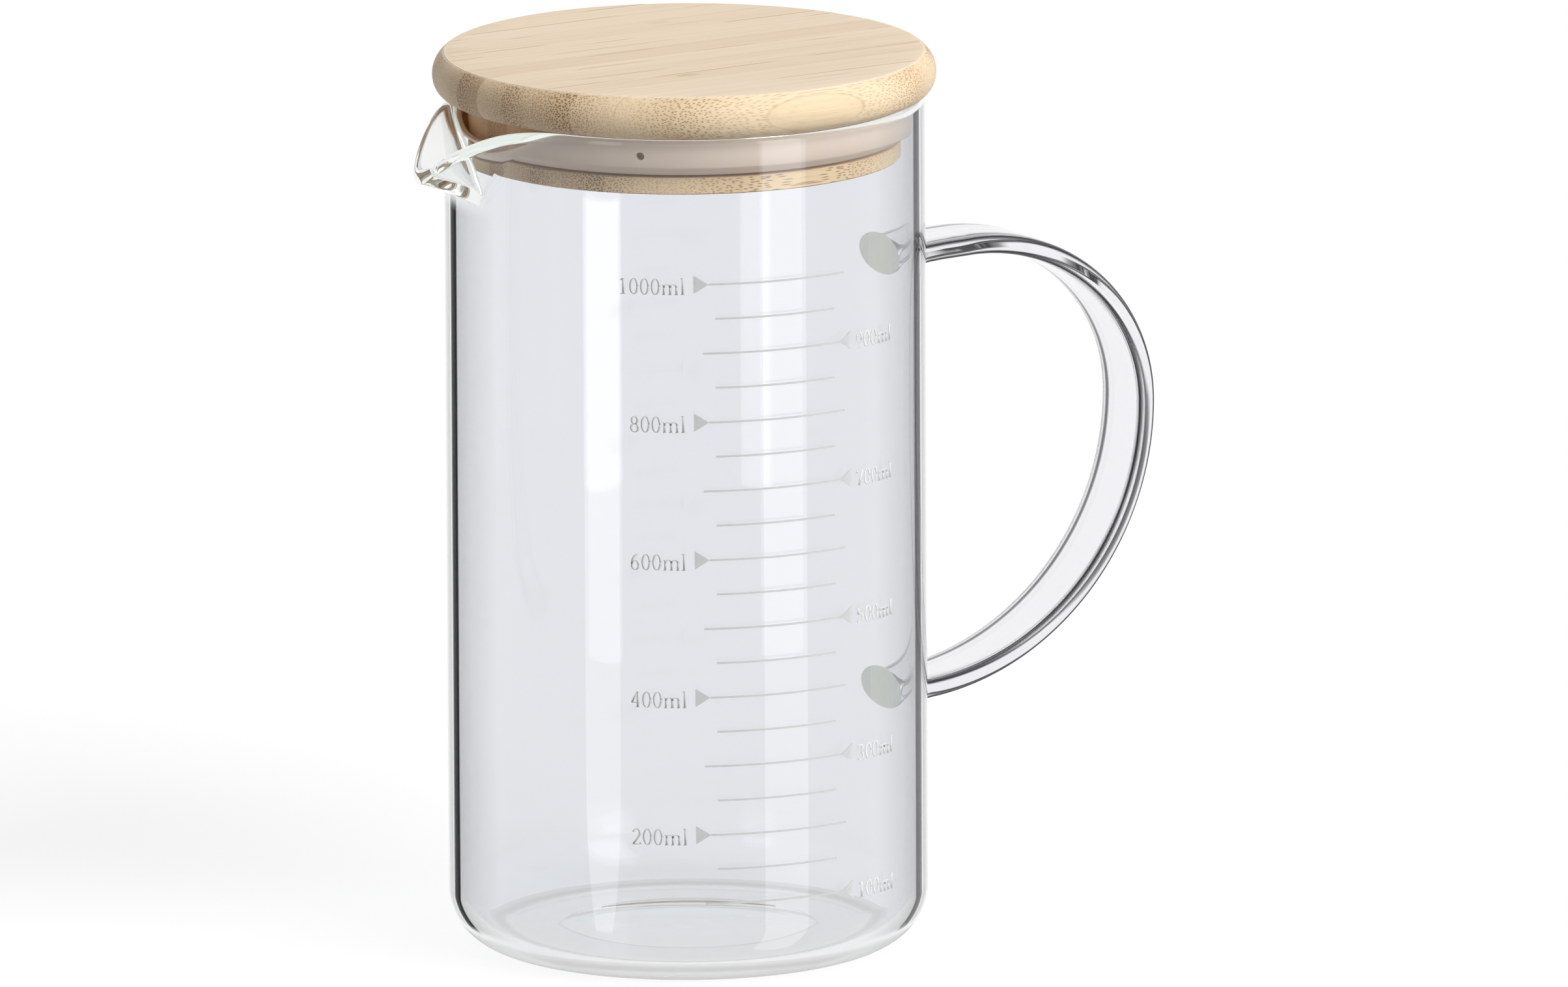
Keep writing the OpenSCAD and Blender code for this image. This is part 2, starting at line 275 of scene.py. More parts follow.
def add_node(tree, kind, settings=None, **inputs):
    """Node of a kind, with its settings, and its inputs set to values or linked to sockets."""
    made = tree.nodes.new(kind)
    for key, value in (settings or {}).items():
        setattr(made, key, value)
    for key, value in inputs.items():
        numbered = key[0] == "i" and key[1:].isdigit()
        socket = made.inputs[int(key[1:]) if numbered else key.replace("_", " ")]
        if isinstance(value, bpy.types.NodeSocket):
            tree.links.new(value, socket)
        else:
            socket.default_value = value
    return made


def reckon(tree, operation, first, second=0.0, third=0.0, clamp=False):
    """Result of a sum with values or sockets."""
    return add_node(tree, "ShaderNodeMath", {"operation": operation, "use_clamp": clamp},
                    i0=first, i1=second, i2=third).outputs[0]


def reckon_vector(tree, operation, first, second=(0, 0, 0)):
    """Result of a sum with vectors: a length or a product is a number, the others are vectors."""
    result = "Value" if operation in ("LENGTH", "DOT_PRODUCT") else "Vector"
    return add_node(tree, "ShaderNodeVectorMath", {"operation": operation},
                    i0=first, i1=second).outputs[result]


def mix_tones(tree, share, first, second, kind="MIX"):
    """Mix of two tones by a share."""
    return add_node(tree, "ShaderNodeMix", {"data_type": "RGBA", "blend_type": kind},
                    i0=share, i6=first, i7=second).outputs[2]


def split(tree, vector):
    return add_node(tree, "ShaderNodeSeparateXYZ", Vector=vector).outputs


def piece_place(tree):
    return add_node(tree, "ShaderNodeTexCoord").outputs["Object"]


def zone_share(tree, zone):
    return add_node(tree, "ShaderNodeAttribute", {"attribute_name": zone}).outputs["Fac"]


def new_material(name):
    made = bpy.data.materials.new(name)
    made.use_nodes = True
    made.node_tree.nodes.clear()
    return made


def grey_ramp(tree, value, stops):
    """Ramp of greys over a value, from pairs of place and shade."""
    made = add_node(tree, "ShaderNodeValToRGB", Fac=value)
    marks = made.color_ramp.elements
    marks[0].position, marks[1].position = stops[0][0], stops[-1][0]
    for place, _ in stops[1:-1]:
        marks.new(place)
    for mark, (_, shade) in zip(marks, stops):
        mark.color = (shade, shade, shade, 1)
    return made.outputs["Color"]


glass_ior = 1.47
glass_shadow = (0.95, 0.96, 0.96, 1)
caught_after = 9.5


def glass_output(tree, body, dark_share, dark_tint):
    """Surface of clear glass with its dark lines, which are painted shade from a dark diffuse shader mixed
    in. Light from lamps and dull surfaces passes straight through it, and so does light that would be caught
    in the wall for many turns."""
    dark = add_node(tree, "ShaderNodeBsdfDiffuse", Color=dark_tint)
    lined = add_node(tree, "ShaderNodeMixShader", i0=dark_share, i1=body.outputs[0], i2=dark.outputs[0])
    clear = add_node(tree, "ShaderNodeBsdfTransparent", Color=glass_shadow)
    path = add_node(tree, "ShaderNodeLightPath").outputs
    soft = reckon(tree, "MAXIMUM", path["Is Shadow Ray"], path["Is Diffuse Ray"])
    caught = reckon(tree, "GREATER_THAN", path["Ray Depth"], caught_after)
    mixed = add_node(tree, "ShaderNodeMixShader", i0=reckon(tree, "MAXIMUM", soft, caught),
                     i1=lined.outputs[0], i2=clear.outputs[0])
    return add_node(tree, "ShaderNodeOutputMaterial", Surface=mixed.outputs[0])


view_rise = math.radians(11.95)
line_turn = math.radians(-30)
line_least = 0.72
# Colour of the painted shade in the dark lines of the glass.
painted_line_shade = (0.012, 0.013, 0.015, 1)
wall_tint = (1.03, 1.04, 1.065, 1)
clear_tint = (0.86, 0.868, 0.89, 1)
spout_tint = (0.94, 0.955, 0.945, 1)
floor_tint = (0.975, 0.965, 0.93, 1)
depth_tint, depth_density = (0.80, 0.88, 0.70, 1), 2.5
# Painted shade that darkens the plain wall towards its outline, with a thin painted highlight line near it.
outline_shade_highlight = [(0.40, 0.835), (0.57, 0.51), (0.69, 0.24), (0.784, 0.25), (0.79, 0.75), (0.797, 0.75),
                (0.805, 0.24), (0.86, 0.28), (0.90, 0.40), (0.97, 0.80)]
# Share of the dark line of painted shade just inside the outline.
outline_dark = [(0.690, 0.0), (0.698, 0.70), (0.703, 0.97), (0.716, 0.97), (0.732, 0.91), (0.763, 0.88),
                (0.774, 0.60), (0.786, 0.0)]
# Painted grey shade over the rounded foot of the glass.
foot_dark = [(0.40, 0.0), (0.60, 0.12), (0.78, 0.24), (0.92, 0.32), (0.975, 0.66)]
# Rings of painted shade in the glass floor, at the hollow's crease and near the corner.
floor_shade_rings = [(0.0, 0.94), (0.530, 0.92), (0.538, 0.60), (0.546, 0.60), (0.552, 0.86), (0.77, 0.84),
               (0.80, 0.50), (0.83, 0.44), (0.86, 0.66), (0.93, 0.80)]


def wall_glass():
    """Blown glass: thick parts are faintly green. Painted shade darkens the plain wall towards its outline,
    with a thin painted highlight line, and just inside the outline a dark line of painted shade stands in for
    the dark edge of a thick wall; this line is fainter towards one side of the jug. Painted grey shade lies
    over the rounded foot, and rings of painted shade lie in the floor."""
    made = new_material("blown_glass")
    tree = made.node_tree
    place = piece_place(tree)
    x, y, z = split(tree, place)
    facing = add_node(tree, "ShaderNodeLayerWeight", Blend=0.5).outputs["Facing"]
    around = add_node(tree, "ShaderNodeCombineXYZ", X=reckon(tree, "MULTIPLY", y, -1.0), Y=x)
    around = reckon_vector(tree, "NORMALIZE", around.outputs[0])
    askew = add_node(tree, "ShaderNodeLayerWeight", Blend=0.5, Normal=around).outputs["Facing"]
    parts = [reckon(tree, "SUBTRACT", 1.0, share) for share in (facing, askew)]
    squarely = reckon(tree, "SINE", reckon(tree, "ARCTAN2", *parts))
    towards_rim = reckon(tree, "MULTIPLY_ADD", squarely, -math.cos(view_rise), 1.0)

    plain = zone_share(tree, "plain_wall")
    shade = mix_tones(tree, 1.0, grey_ramp(tree, towards_rim, outline_shade_highlight), wall_tint, "MULTIPLY")
    clear = mix_tones(tree, zone_share(tree, "pulled"), clear_tint, spout_tint)
    radius = reckon_vector(tree, "LENGTH", reckon_vector(tree, "MULTIPLY", place, (1, 1, 0)))
    rings = grey_ramp(tree, reckon(tree, "DIVIDE", radius, glass_r), floor_shade_rings)
    under = reckon(tree, "LESS_THAN", z, floor_t / 2)
    clear = mix_tones(tree, under, clear, mix_tones(tree, 1.0, rings, floor_tint, "MULTIPLY"))
    body = add_node(tree, "ShaderNodeBsdfPrincipled", Base_Color=mix_tones(tree, plain, clear, shade),
                    Roughness=0.0, IOR=glass_ior, Transmission_Weight=1.0)

    back = add_node(tree, "ShaderNodeNewGeometry").outputs["Backfacing"]
    front = reckon(tree, "SUBTRACT", plain, back)
    band = reckon(tree, "MULTIPLY", grey_ramp(tree, towards_rim, outline_dark), front, clamp=True)
    # The painted dark line is fainter towards one side of the jug.
    side = reckon_vector(tree, "DOT_PRODUCT", place, (math.cos(line_turn), math.sin(line_turn), 0))
    depth = add_node(tree, "ShaderNodeMapRange", Value=side, From_Min=-glass_r, From_Max=glass_r,
                     To_Min=1.0, To_Max=line_least)
    line = reckon(tree, "MULTIPLY", band, depth.outputs[0])
    # Painted shade on the outer foot, mixed in with the dark line.
    near = reckon(tree, "SUBTRACT", zone_share(tree, "outer_foot"), back, clamp=True)
    foot = reckon(tree, "MULTIPLY", grey_ramp(tree, facing, foot_dark), near)
    green = add_node(tree, "ShaderNodeVolumeAbsorption", Color=depth_tint, Density=depth_density)
    out = glass_output(tree, body, reckon(tree, "MAXIMUM", line, foot), painted_line_shade)
    tree.links.new(green.outputs[0], out.inputs["Volume"])
    return made


jug.data.materials.append(wall_glass())
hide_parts("glass_body")
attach(jug, "jug")


# Handle: a flat glass strap, drawn hot, bent to shape and welded to the wall at both ends,
# where it spreads into a pad.
strap_w = 0.0162
strap_t = 0.0041
strap_edge_r = 0.0016
pad_w = 0.019
pad_h = 0.0085
pad_l = 0.0045
pad_sink = 0.0003
arm_l = 0.0156
arm_z = 0.1405
arm_sag = 0.0009
bend_z = 0.1035
foot_z = 0.048
strap_mid_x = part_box("handle")[1].x - strap_t / 2
path_steps, pad_steps, edge_steps = 64, 12, 7
strap_crease = math.radians(50)


def strap_quarter(x, length, height, first, last):
    """Stations along a quarter of an ellipse: place in the XZ plane and outward direction."""
    turns = np.radians(np.linspace(first, last, path_steps))
    place = np.stack([x + length * np.cos(turns), bend_z + height * np.sin(turns)], -1)
    out = unit(np.stack([height * np.cos(turns), length * np.sin(turns)], -1))
    return np.concatenate([place, out], -1)


def strap_ring(station):
    """Closed ring of the strap: flat faces, narrow rounded edges, spread out at the weld."""
    x, z, out_x, out_z = station
    spread = max(0.0, 1 - max(0.0, x - glass_r) / pad_l) ** 2
    w = strap_w + (pad_w - strap_w) * spread
    t = strap_t + (pad_h - strap_t) * spread
    ring = []
    for side_y, side_out, first in ((1, 1, 0), (-1, 1, 90), (-1, -1, 180), (1, -1, 270)):
        for turn in np.radians(np.linspace(first, first + 90, edge_steps)):
            c, s = math.cos(turn), math.sin(turn)
            across = side_y * (w / 2 - strap_edge_r) + strap_edge_r * c
            out = side_out * (t / 2 - strap_edge_r) + strap_edge_r * s
            across += (w / 2 * c - across) * spread
            out += (t / 2 * s - out) * spread
            ring.append((x + out * out_x, across, z + out * out_z))
    return ring


pad_x = glass_r + pad_l * np.linspace(0, 1, pad_steps)[1:]
arm_x = np.concatenate([[glass_r - pad_sink], pad_x, [glass_r + arm_l / 2]])
arm_rise = arm_z - arm_sag * (1 - (arm_x - glass_r) / arm_l) ** 2
arm = np.stack([arm_x, arm_rise, np.zeros_like(arm_x), np.ones_like(arm_x)], -1)
upper = strap_quarter(glass_r + arm_l, strap_mid_x - glass_r - arm_l, arm_z - bend_z, 90, 0)
lower = strap_quarter(glass_r, strap_mid_x - glass_r, bend_z - foot_z, 0, -90)[1:]
foot = np.array([[glass_r - pad_sink, foot_z, 0.0, -1.0]])
stations = np.concatenate([arm, upper, lower, foot])
rings = [strap_ring(s) for s in stations]
ring_n = len(rings[0])
faces = grid_faces(len(rings), ring_n)
faces.append(tuple(range(ring_n)))
faces.append(tuple(range((len(rings) - 1) * ring_n, len(rings) * ring_n)))
handle = mesh_piece("handle_strap", np.concatenate(rings), faces)
pad_faces = (-2, -1)
for pad in pad_faces:
    handle.data.polygons[pad].use_smooth = False
handle.data.set_sharp_from_angle(angle=strap_crease)
# Share of painted shade along the strap's turned edges.
corner = np.sin(2 * np.radians(np.linspace(0, 90, edge_steps)))
store_share(handle, "strap_edge_shade", np.tile(np.concatenate([corner] * 4), len(rings)))


def soft_step(tree, value, low, high, most=1.0):
    """Share that eases from nothing at a low value to its most at a high one."""
    return add_node(tree, "ShaderNodeMapRange", {"interpolation_type": "SMOOTHSTEP"},
                    Value=value, From_Min=low, From_Max=high, To_Max=most).outputs[0]


def strap_glass():
    """Drawn strap: faintly lilac over its flat faces, with dark lines of painted shade where its edges turn.
    """
    made = new_material("strap_glass")
    tree = made.node_tree
    body = add_node(tree, "ShaderNodeBsdfPrincipled", Base_Color=(0.86, 0.855, 0.885, 1), Roughness=0.0,
                    IOR=glass_ior, Transmission_Weight=1.0)
    uneven = add_node(tree, "ShaderNodeTexNoise", Vector=piece_place(tree), Scale=45.0, Detail=1.0)
    start = reckon(tree, "MULTIPLY_ADD", uneven.outputs[0], 0.5, 0.28)
    line = soft_step(tree, zone_share(tree, "strap_edge_shade"), start, 1.05, 0.95)
    glass_output(tree, body, line, (0.03, 0.03, 0.035, 1))
    return made


def cloudy_group():
    """Shader group for cloudy finishes: fine clouds that drift from a thin tone to a full one."""
    group = bpy.data.node_groups.new("cloudy_tone", "ShaderNodeTree")
    group.interface.new_socket("Scale", in_out="INPUT", socket_type="NodeSocketFloat")
    for label, way in (("Thin", "INPUT"), ("Full", "INPUT"), ("Tone", "OUTPUT")):
        group.interface.new_socket(label, in_out=way, socket_type="NodeSocketColor")
    given = add_node(group, "NodeGroupInput").outputs
    cloud = add_node(group, "ShaderNodeTexNoise", Vector=piece_place(group), Scale=given["Scale"], Detail=2.0)
    add_node(group, "NodeGroupOutput", Tone=mix_tones(group, cloud.outputs[0], given["Thin"], given["Full"]))
    return group


cloudy = cloudy_group()


def cloudy_tone(tree, scale, thin, full):
    return add_node(tree, "ShaderNodeGroup", {"node_tree": cloudy},
                    Scale=scale, Thin=(*thin, 1), Full=(*full, 1)).outputs["Tone"]


def glowing_material(name, scale, thin, full, roughness, glow):
    """Cloudy finish with a painted glow that stands in for the light that the glass brings to it: green at
    the weld pads, and brown in the vent of the seal, where tone and glow are painted to stand in for the
    bamboo seen behind it."""
    made = new_material(name)
    tone = cloudy_tone(made.node_tree, scale, thin, full)
    body = add_node(made.node_tree, "ShaderNodeBsdfPrincipled", Base_Color=tone, Roughness=roughness,
                    Emission_Color=tone, Emission_Strength=glow)
    add_node(made.node_tree, "ShaderNodeOutputMaterial", Surface=body.outputs[0])
    return made


# Weld pads: greenish cloudy tone with a painted glow.
weld_pad_glow = glowing_material("weld_pad_glow", scale=500.0, thin=(0.80, 0.84, 0.76), full=(0.88, 0.91, 0.84),
                              roughness=0.4, glow=0.40)
handle.data.materials.append(strap_glass())
handle.data.materials.append(weld_pad_glow)
for pad in pad_faces:
    handle.data.polygons[pad].material_index = 1
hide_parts("handle")
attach(handle, "jug")


# Printed scale: pale grey ceramic ink, screen-printed on the outside of the wall and fired.
# The lines and pointers are the frame's own; the numerals are drawn here with a broad nib.
ink_t = 0.0001
ink_tint = (0.99, 1.014, 0.998, 1)
# Painted light along the print: paler towards its right end.
ink_side_light = [(0.231, 0.69), (0.269, 0.635), (0.706, 0.635), (0.755, 0.92), (0.80, 0.87)]
ink_thin, ink_full = (0.90, 0.90, 0.90), (1.06, 1.06, 1.06)
mark_turn = math.radians(-97.5)
print_half_w = 0.04


def ink_material():
    """Fired ink: chalky, uneven where the screen left less of it, and with painted light that makes it paler
    towards the print's right end.
    """
    made = new_material("fired_ink")
    tree = made.node_tree
    rightwards = (-math.sin(mark_turn), math.cos(mark_turn), 0)
    side = reckon_vector(tree, "DOT_PRODUCT", piece_place(tree), rightwards)
    share = add_node(tree, "ShaderNodeMapRange", Value=side, From_Min=-print_half_w, From_Max=print_half_w)
    painted_light = mix_tones(tree, 1.0, grey_ramp(tree, share.outputs[0], ink_side_light), ink_tint, "MULTIPLY")
    tone = mix_tones(tree, 1.0, painted_light, cloudy_tone(tree, 900.0, ink_thin, ink_full), "MULTIPLY")
    body = add_node(tree, "ShaderNodeBsdfPrincipled", Base_Color=tone, Roughness=0.6)
    add_node(tree, "ShaderNodeOutputMaterial", Surface=body.outputs[0])
    return made


ink = ink_material()
for name in ("scale_lines", "scale_half_lines", "scale_pointers"):
    printed = frame["nodes"][name]
    printed.data.materials.clear()
    printed.data.materials.append(ink)

figure_h = 0.0035
nib_w = 0.062
nib_h = 0.022


def pen_arc(x, y, rx, ry, first, last, steps=18):
    turns = np.radians(np.linspace(first, last, steps))
    return np.stack([x + rx * np.cos(turns), y + ry * np.sin(turns)], -1)


def pen_line(*places):
    return np.array(places, dtype=float)


figure_w = 0.64
six = [pen_arc(0.30, 0.30, 0.20, 0.27, 0, 360, 28), pen_arc(0.47, 0.34, 0.37, 0.61, 178, 95)]
two = np.concatenate([pen_arc(0.29, 0.70, 0.20, 0.26, 165, -35), pen_line((0.30, 0.32), (0.08, 0.05))])
stems, arches = (0.16, 0.53, 0.90), (0.345, 0.715)
glyphs = {
    "0": (figure_w, [pen_arc(0.31, 0.5, 0.21, 0.46, 0, 360, 32)]),
    "1": (figure_w, [pen_line((0.31, 0.04), (0.31, 0.95)), pen_line((0.31, 0.95), (0.15, 0.84)),
                     pen_line((0.14, 0.03), (0.46, 0.03))]),
    "2": (figure_w, [two, pen_line((0.08, 0.05), (0.52, 0.05)), pen_line((0.52, 0.05), (0.54, 0.18))]),
    "3": (figure_w, [pen_arc(0.27, 0.73, 0.18, 0.23, 160, -90), pen_arc(0.27, 0.27, 0.22, 0.23, 90, -160)]),
    "4": (figure_w, [pen_line((0.40, 0.95), (0.05, 0.30)), pen_line((0.05, 0.30), (0.58, 0.30)),
                     pen_line((0.41, 0.04), (0.41, 0.95)), pen_line((0.28, 0.03), (0.54, 0.03))]),
    "5": (figure_w, [pen_line((0.14, 0.94), (0.50, 0.94)), pen_line((0.15, 0.94), (0.12, 0.56)),
                     pen_arc(0.28, 0.32, 0.23, 0.29, 130, -155)]),
    "6": (figure_w, six),
    "7": (figure_w, [pen_line((0.08, 0.94), (0.54, 0.94)), pen_line((0.53, 0.94), (0.22, 0.04)),
                     pen_line((0.09, 0.94), (0.08, 0.80))]),
    "8": (figure_w, [pen_arc(0.31, 0.73, 0.17, 0.22, 0, 360, 28),
                     pen_arc(0.31, 0.27, 0.21, 0.24, 0, 360, 28)]),
    "9": (figure_w, [np.array([0.61, 0.97]) - stroke for stroke in six]),
    "m": (1.06, [pen_line((x, 0.04), (x, 0.58)) for x in stems]
          + [pen_line((x - 0.11, 0.03), (x + 0.11, 0.03)) for x in stems]
          + [pen_arc(x, 0.44, 0.185, 0.19, 178, 2) for x in arches] + [pen_line((0.06, 0.60), (0.16, 0.62))]),
    "l": (0.42, [pen_line((0.20, 0.04), (0.20, 1.0)), pen_line((0.08, 0.03), (0.32, 0.03)),
                 pen_line((0.08, 0.98), (0.20, 1.0))]),
}


def stroke_prism(stroke, start):
    """Closed ribbon of ink along a stroke, as wide as the nib is across the stroke's direction."""
    along = unit(np.gradient(stroke, axis=0))
    across = np.stack([-along[:, 1], along[:, 0]], -1)
    half = np.sqrt((nib_w * across[:, 0]) ** 2 + (nib_h * across[:, 1]) ** 2)[:, None]
    left, right = (stroke + half * across) * figure_h, (stroke - half * across) * figure_h
    verts = [(p[0], depth, p[1]) for depth in (0.0, ink_t) for edge in (left, right) for p in edge]
    n = len(stroke)
    quads = []
    for i in range(n - 1):
        for a, b in ((0, n), (n, 3 * n), (3 * n, 2 * n), (2 * n, 0)):
            quads.append((start + a + i, start + b + i, start + b + i + 1, start + a + i + 1))
    for i in (0, n - 1):
        quads.append(tuple(start + k + i for k in (0, n, 3 * n, 2 * n)))
    return verts, quads


nib_box = bpy.data.collections.new("numeral_shapes")
for order, (_, strokes) in enumerate(glyphs.values()):
    verts, quads = [], []
    for stroke in strokes:
        more, sides = stroke_prism(stroke, len(verts))
        verts += more
        quads += sides
    shape = mesh_piece(f"numeral_{order:02d}", verts, quads)
    bpy.context.scene.collection.objects.unlink(shape)
    nib_box.objects.link(shape)

millilitre = 1e-6
mark_step, mark_last = 100, 1000
pointer_base = 0.0178
label_gap = 0.0014
label_sag = 0.0004
corner_area = (1 - math.pi / 4) * inner_corner_r ** 2
corner_arm = inner_r - (10 - 3 * math.pi) / (12 - 3 * math.pi) * inner_corner_r
corner_volume = 2 * math.pi * corner_arm * corner_area
letters = list(glyphs)
label_points, label_letters = [], []
for mark in range(mark_step, mark_last + 1, mark_step):
    label = f"{mark}ml"
    widths = [glyphs[c][0] * figure_h for c in label]
    level = floor_t + (mark * millilitre + corner_volume) / (math.pi * inner_r ** 2)
    z = level - figure_h / 2 - label_sag
    pointer_left = mark % (2 * mark_step) == 0
    x = -pointer_base - label_gap - sum(widths) if pointer_left else pointer_base + label_gap
    for letter, width in zip(label, widths):
        label_points.append((x, 0.0, z))
        label_letters.append(letters.index(letter))
        x += width


def new_tree(name, inputs):
    """Geometry tree with a geometry in and out and named inputs, with what it is given and its end."""
    tree = bpy.data.node_groups.new(name, "GeometryNodeTree")
    face = tree.interface
    face.new_socket("Geometry", in_out="INPUT", socket_type="NodeSocketGeometry")
    for label, kind in inputs:
        face.new_socket(label, in_out="INPUT", socket_type=kind)
    face.new_socket("Geometry", in_out="OUTPUT", socket_type="NodeSocketGeometry")
    return tree, tree.nodes.new("NodeGroupInput").outputs, tree.nodes.new("NodeGroupOutput")


def numerals_tree():
    """Sets one numeral on each point, joins them and bends the sheet of ink round the wall."""
    tree, given, made = new_tree("numerals_on_wall", [
        ("Shapes", "NodeSocketCollection"), ("Wall radius", "NodeSocketFloat"),
        ("Turn", "NodeSocketFloat"), ("Ink", "NodeSocketMaterial")])
    shapes = add_node(tree, "GeometryNodeCollectionInfo", Collection=given["Shapes"],
                      Separate_Children=True, Reset_Children=True)
    letter = add_node(tree, "GeometryNodeInputNamedAttribute", {"data_type": "INT"}, Name="letter")
    placed = add_node(tree, "GeometryNodeInstanceOnPoints", Points=given["Geometry"],
                      Instance=shapes.outputs[0], Pick_Instance=True,
                      Instance_Index=letter.outputs["Attribute"])
    joined = add_node(tree, "GeometryNodeRealizeInstances", Geometry=placed.outputs[0])
    x, y, z = split(tree, add_node(tree, "GeometryNodeInputPosition").outputs[0])
    turn = reckon(tree, "ADD", reckon(tree, "DIVIDE", x, given["Wall radius"]), given["Turn"])
    reach = reckon(tree, "ADD", y, given["Wall radius"])
    ways = [reckon(tree, "MULTIPLY", reckon(tree, way, turn), reach) for way in ("COSINE", "SINE")]
    place = add_node(tree, "ShaderNodeCombineXYZ", X=ways[0], Y=ways[1], Z=z)
    bent = add_node(tree, "GeometryNodeSetPosition", Geometry=joined.outputs[0], Position=place.outputs[0])
    inked = add_node(tree, "GeometryNodeSetMaterial", Geometry=bent.outputs[0], Material=given["Ink"])
    tree.links.new(inked.outputs[0], made.inputs[0])
    return tree


def applied_mesh(piece):
    """Plain mesh of a piece with its modifiers worked in."""
    bpy.context.view_layer.update()
    return bpy.data.meshes.new_from_object(piece.evaluated_get(bpy.context.evaluated_depsgraph_get()))


def grow(name, source, tree, values):
    """Runs a tree on a mesh with its inputs set by name, and returns the result as a plain piece."""
    holder = new_object(name + "_source", source)
    nodes = holder.modifiers.new(name, "NODES")
    nodes.node_group = tree
    sockets = {s.name: s.identifier for s in tree.interface.items_tree if s.in_out == "INPUT"}
    for label, value in values.items():
        nodes[sockets[label]] = value
    result = applied_mesh(holder)
    result.name = name
    bpy.data.objects.remove(holder)
    return new_object(name, result)


label_mesh = bpy.data.meshes.new("numeral_places")
label_mesh.from_pydata(label_points, [], [])
label_mesh.attributes.new("letter", "INT", "POINT").data.foreach_set("value", label_letters)
numerals = grow("scale_numerals", label_mesh, numerals_tree(), {
    "Shapes": nib_box, "Wall radius": glass_r, "Turn": mark_turn, "Ink": ink})
for shape in list(nib_box.objects):
    bpy.data.objects.remove(shape)
bpy.data.collections.remove(nib_box)
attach(numerals, "jug")


# Lid seal: a ring of translucent whitish silicone, moulded with a lip that bends up against the
# glass and a small vent hole, snapped into the groove of the plug.
seal_low, seal_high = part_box("lid_seal")
seal_z = seal_low.z
lip_top = seal_high.z
lip_r = seal_high.y
plug_gap = 0.0025
plug_r = inner_r - plug_gap
groove_depth = 0.0032
groove_r = plug_r - groove_depth
lip_t = 0.0011
ring_h = 0.00304
ring_gap = 8e-5
collar_gap = 1e-4
lip_lean = 0.0026
lip_round = 0.0004
lip_edge_steps = 9
lip_low_angle = 29.0
lip_low_middle = -8.0
lip_low = 0.0047
lip_low_power = 1.1
lip_ease = 0.0001
lean_round, foot_round = 3e-4, 2e-4
foot_gap = 0.00045
foot_gap_l = 0.0022
vent_d = 0.0017
vent_l = 0.012
vent_sides = 32
vent_rise = 0.0048
vent_turn = math.radians(-131)
turn_steps = 256
turn_weld, turn_sliver = 2e-6, 1e-6
turned_crease = math.radians(35)


def turned_tree():
    """Turns a section, given as a row of points, about the axis into a closed round piece."""
    tree, given, made = new_tree("turned_piece", [
        ("Steps", "NodeSocketInt"), ("Weld", "NodeSocketFloat"), ("Finish", "NodeSocketMaterial")])
    count = add_node(tree, "GeometryNodeAttributeDomainSize", Geometry=given["Geometry"])
    around = reckon(tree, "ADD", given["Steps"], 1.0)
    grid = add_node(tree, "GeometryNodeMeshGrid", Vertices_X=count.outputs["Point Count"], Vertices_Y=around)
    index = add_node(tree, "GeometryNodeInputIndex").outputs[0]
    row = reckon(tree, "FLOOR", reckon(tree, "DIVIDE", index, around))
    column = reckon(tree, "MODULO", index, around)
    turn = reckon(tree, "MULTIPLY", reckon(tree, "DIVIDE", column, given["Steps"]), math.tau)
    section = add_node(tree, "GeometryNodeSampleIndex", {"data_type": "FLOAT_VECTOR"},
                       Geometry=given["Geometry"], Index=row,
                       Value=add_node(tree, "GeometryNodeInputPosition").outputs[0])
    place = add_node(tree, "ShaderNodeVectorRotate", {"rotation_type": "Z_AXIS"},
                     Vector=section.outputs[0], Angle=turn)
    moved = add_node(tree, "GeometryNodeSetPosition", Geometry=grid.outputs[0], Position=place.outputs[0])
    welded = add_node(tree, "GeometryNodeMergeByDistance", Geometry=moved.outputs[0], Distance=given["Weld"])
    whole = add_node(tree, "GeometryNodeRealizeInstances", Geometry=welded.outputs[0])
    finished = add_node(tree, "GeometryNodeSetMaterial", Geometry=whole.outputs[0], Material=given["Finish"])
    tree.links.new(finished.outputs[0], made.inputs[0])
    return tree


def turned_piece(name, section, finish):
    """Round piece from a closed section of (radius, height) points, with its faces outwards."""
    line = bpy.data.meshes.new(name + "_section")
    line.from_pydata([(r, 0.0, z) for r, z in section], [], [])
    piece = grow(name, line, turning, {"Steps": turn_steps, "Weld": turn_weld, "Finish": finish})
    face_outwards(piece.data, turn_sliver)
    piece.data.set_sharp_from_angle(angle=turned_crease)
    return piece


def silicone_material():
    """Milky silicone: paler towards the free lip, faintly cloudy, and soft in its gloss."""
    made = new_material("milky_silicone")
    tree = made.node_tree
    place = piece_place(tree)
    rise = soft_step(tree, split(tree, place)["Z"], seal_z, lip_top)
    cloud = add_node(tree, "ShaderNodeTexNoise", Vector=place, Scale=160.0, Detail=3.0)
    tone = mix_tones(tree, rise, (0.87, 0.68, 0.54, 1), (0.98, 0.82, 0.69, 1))
    veil = mix_tones(tree, 0.12, tone, cloud.outputs["Color"], "OVERLAY")
    body = add_node(tree, "ShaderNodeBsdfPrincipled", Base_Color=veil, Roughness=0.32)
    add_node(tree, "ShaderNodeOutputMaterial", Surface=body.outputs[0])
    return made


